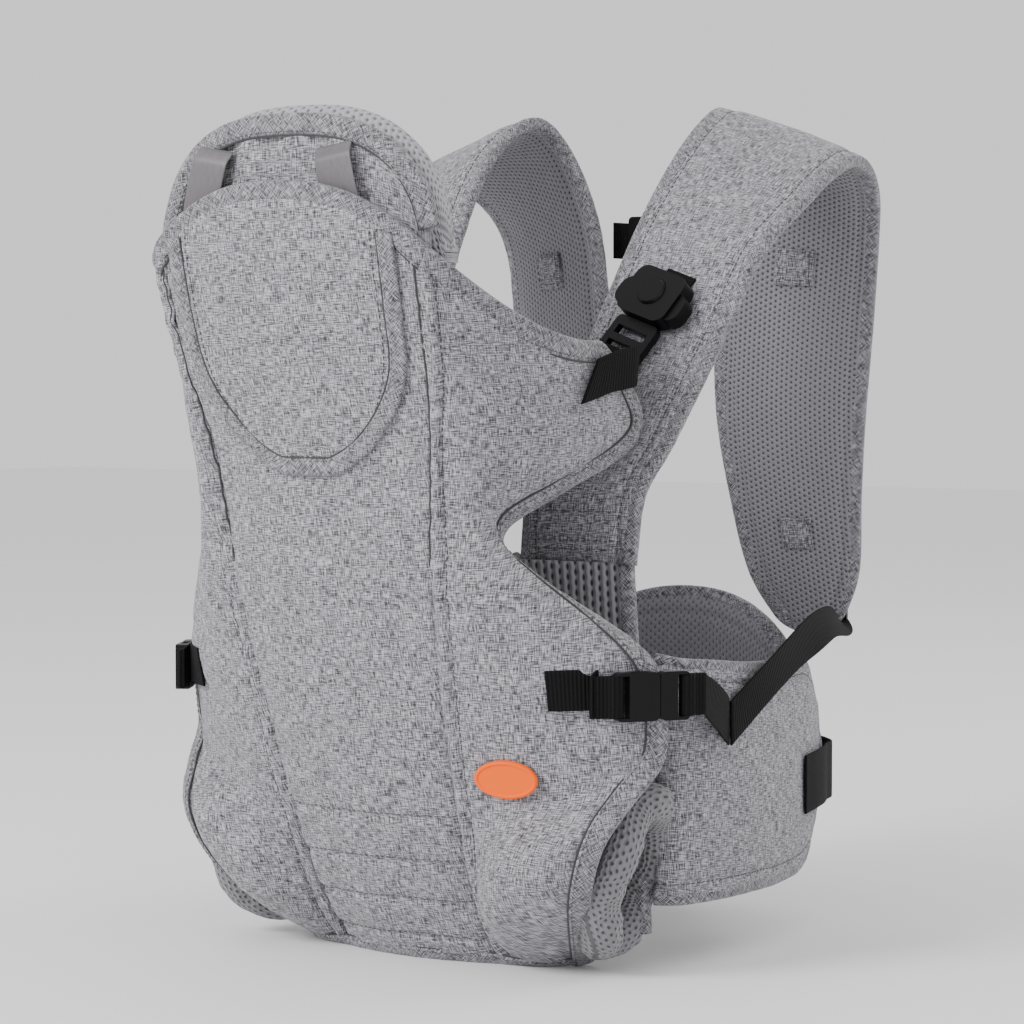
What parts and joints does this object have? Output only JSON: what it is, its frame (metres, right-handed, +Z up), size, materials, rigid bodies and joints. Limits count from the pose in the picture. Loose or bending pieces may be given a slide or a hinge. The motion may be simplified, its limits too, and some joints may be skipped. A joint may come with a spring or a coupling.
{
  "type": "soft baby carrier",
  "caption": "Soft baby carrier with padded pouch, folding head support, shoulder straps, waist belt, mesh leg cuffs and side release buckles.",
  "frame": {"origin": "on the floor plane under the middle of the bounding box", "axes": "+Z up, -Y the side the pouch faces, +X the wearer's left"},
  "size_m": [0.3976, 0.4765, 0.5381],
  "materials": {
    "cover_fabric": "heathered plain weave",
    "mesh": "knitted spacer mesh",
    "foam": "soft open foam",
    "satin": "smooth elastic satin",
    "webbing": "ribbed webbing",
    "hardware": "fine matte",
    "badge": "soft satin"
  },
  "bodies": {
    "carrier": {"panel_center": "cover_fabric", "panel_side_left": "cover_fabric", "panel_side_right": "cover_fabric", "panel_lining": "mesh", "panel_binding": "cover_fabric", "head_patch": "cover_fabric", "head_bands": "satin", "inner_panel_cover": "cover_fabric", "inner_panel_mesh": "mesh", "seat_pad": "mesh", "leg_cuff_left": "mesh", "leg_cuff_right": "mesh", "wing_cover_left": "cover_fabric", "wing_cover_right": "cover_fabric", "wing_foam": "foam", "wing_mesh": "mesh", "lumbar_cover": "cover_fabric", "lumbar_foam": "foam", "lumbar_mesh": "mesh", "belt_bindings": "cover_fabric", "strap_cover_left": "cover_fabric", "strap_cover_right": "cover_fabric", "strap_foam": "foam", "strap_mesh": "mesh", "strap_bindings": "cover_fabric", "shoulder_tab_left": "webbing", "shoulder_tab_right": "webbing", "shoulder_anchors": "webbing", "strap_keepers": "webbing", "side_stubs": "webbing", "side_webbing_left": "webbing", "side_webbing_right": "webbing", "cross_webbing": "webbing", "belt_webbing_left": "webbing", "belt_webbing_right": "webbing", "shoulder_housing_left": "hardware", "shoulder_housing_right": "hardware", "side_socket_left": "hardware", "side_socket_right": "hardware", "belt_socket": "hardware", "badge": "badge"},
    "head_support": {"head_cover": "cover_fabric", "head_mesh": "mesh", "head_binding": "cover_fabric"},
    "shoulder_button_left": {"shoulder_button_left": "hardware"},
    "shoulder_button_right": {"shoulder_button_right": "hardware"},
    "shoulder_tongue_left": {"shoulder_tongue_left": "hardware"},
    "shoulder_tongue_right": {"shoulder_tongue_right": "hardware"},
    "side_plug_left": {"side_plug_left": "hardware"},
    "side_plug_right": {"side_plug_right": "hardware"},
    "belt_plug": {"belt_plug": "hardware"},
    "belt_prong_upper": {"belt_prong_upper": "hardware"},
    "belt_prong_lower": {"belt_prong_lower": "hardware"},
    "strap_slider_left": {"strap_slider_left": "hardware"},
    "strap_slider_right": {"strap_slider_right": "hardware"},
    "cross_slider": {"cross_slider": "hardware"},
    "side_prong_left_upper": {"side_prong_left_upper": "hardware"},
    "side_prong_left_lower": {"side_prong_left_lower": "hardware"},
    "side_prong_right_upper": {"side_prong_right_upper": "hardware"},
    "side_prong_right_lower": {"side_prong_right_lower": "hardware"}
  },
  "joints": [
    {"name": "head_support_fold", "type": "hinge", "parent": "carrier", "child": "head_support", "pos_m": [0, -0.204, 0.422], "axis": [-1, 0, 0], "range_deg": [0, 30], "deforming": ["head_bands"]},
    {"name": "shoulder_button_left_press", "type": "slide", "parent": "carrier", "child": "shoulder_button_left", "axis": [0, 0.8387, -0.5446], "range_m": [0, 0.0024], "stiffness_N_per_m": 900, "springref_m": -0.001},
    {"name": "shoulder_tongue_left_release", "type": "slide", "parent": "carrier", "child": "shoulder_tongue_left", "axis": [-0.342, -0.5118, -0.7881], "range_m": [0, 0.018], "deforming": ["shoulder_tab_left"]},
    {"name": "side_plug_left_release", "type": "slide", "parent": "carrier", "child": "side_plug_left", "axis": [0.5299, 0.848, 0], "range_m": [0, 0.022], "deforming": ["side_webbing_left"]},
    {"name": "side_prong_left_upper_squeeze", "type": "hinge", "parent": "side_plug_left", "child": "side_prong_left_upper", "pos_m": [0.18564, -0.09822, 0.1836], "axis": [0.848, -0.5299, 0], "range_deg": [0, 8], "stiffness_Nm_per_rad": 0.05, "springref_deg": -2.86},
    {"name": "side_prong_left_lower_squeeze", "type": "hinge", "parent": "side_plug_left", "child": "side_prong_left_lower", "pos_m": [0.18564, -0.09822, 0.1644], "axis": [-0.848, 0.5299, 0], "range_deg": [0, 8], "stiffness_Nm_per_rad": 0.05, "springref_deg": -2.86},
    {"name": "strap_slider_left_lift", "type": "hinge", "parent": "carrier", "child": "strap_slider_left", "pos_m": [0.0993, 0.229, 0.217], "axis": [0.9563, 0.2924, 0], "range_deg": [0, 25]},
    {"name": "shoulder_button_right_press", "type": "slide", "parent": "carrier", "child": "shoulder_button_right", "axis": [0, 0.8387, -0.5446], "range_m": [0, 0.0024], "stiffness_N_per_m": 900, "springref_m": -0.001},
    {"name": "shoulder_tongue_right_release", "type": "slide", "parent": "carrier", "child": "shoulder_tongue_right", "axis": [0.342, -0.5118, -0.7881], "range_m": [0, 0.018], "deforming": ["shoulder_tab_right"]},
    {"name": "side_plug_right_release", "type": "slide", "parent": "carrier", "child": "side_plug_right", "axis": [-0.5299, 0.848, 0], "range_m": [0, 0.022], "deforming": ["side_webbing_right"]},
    {"name": "side_prong_right_upper_squeeze", "type": "hinge", "parent": "side_plug_right", "child": "side_prong_right_upper", "pos_m": [-0.18564, -0.09822, 0.1836], "axis": [0.848, 0.5299, 0], "range_deg": [0, 8], "stiffness_Nm_per_rad": 0.05, "springref_deg": -2.86},
    {"name": "side_prong_right_lower_squeeze", "type": "hinge", "parent": "side_plug_right", "child": "side_prong_right_lower", "pos_m": [-0.18564, -0.09822, 0.1644], "axis": [-0.848, -0.5299, 0], "range_deg": [0, 8], "stiffness_Nm_per_rad": 0.05, "springref_deg": -2.86},
    {"name": "strap_slider_right_lift", "type": "hinge", "parent": "carrier", "child": "strap_slider_right", "pos_m": [-0.0993, 0.229, 0.217], "axis": [0.9563, -0.2924, 0], "range_deg": [0, 25]},
    {"name": "cross_slider_slide", "type": "slide", "parent": "carrier", "child": "cross_slider", "axis": [1, 0, 0], "range_m": [-0.005, 0.045]},
    {"name": "belt_plug_release", "type": "slide", "parent": "carrier", "child": "belt_plug", "axis": [-1, 0, 0], "range_m": [0, 0.026], "deforming": ["belt_webbing_right"]},
    {"name": "belt_prong_upper_squeeze", "type": "hinge", "parent": "belt_plug", "child": "belt_prong_upper", "pos_m": [-0.008, 0.2315, 0.1186], "axis": [0, 1, 0], "range_deg": [0, 8], "stiffness_Nm_per_rad": 0.05, "springref_deg": -2.86},
    {"name": "belt_prong_lower_squeeze", "type": "hinge", "parent": "belt_plug", "child": "belt_prong_lower", "pos_m": [-0.008, 0.2315, 0.0854], "axis": [0, -1, 0], "range_deg": [0, 8], "stiffness_Nm_per_rad": 0.05, "springref_deg": -2.86}
  ]
}
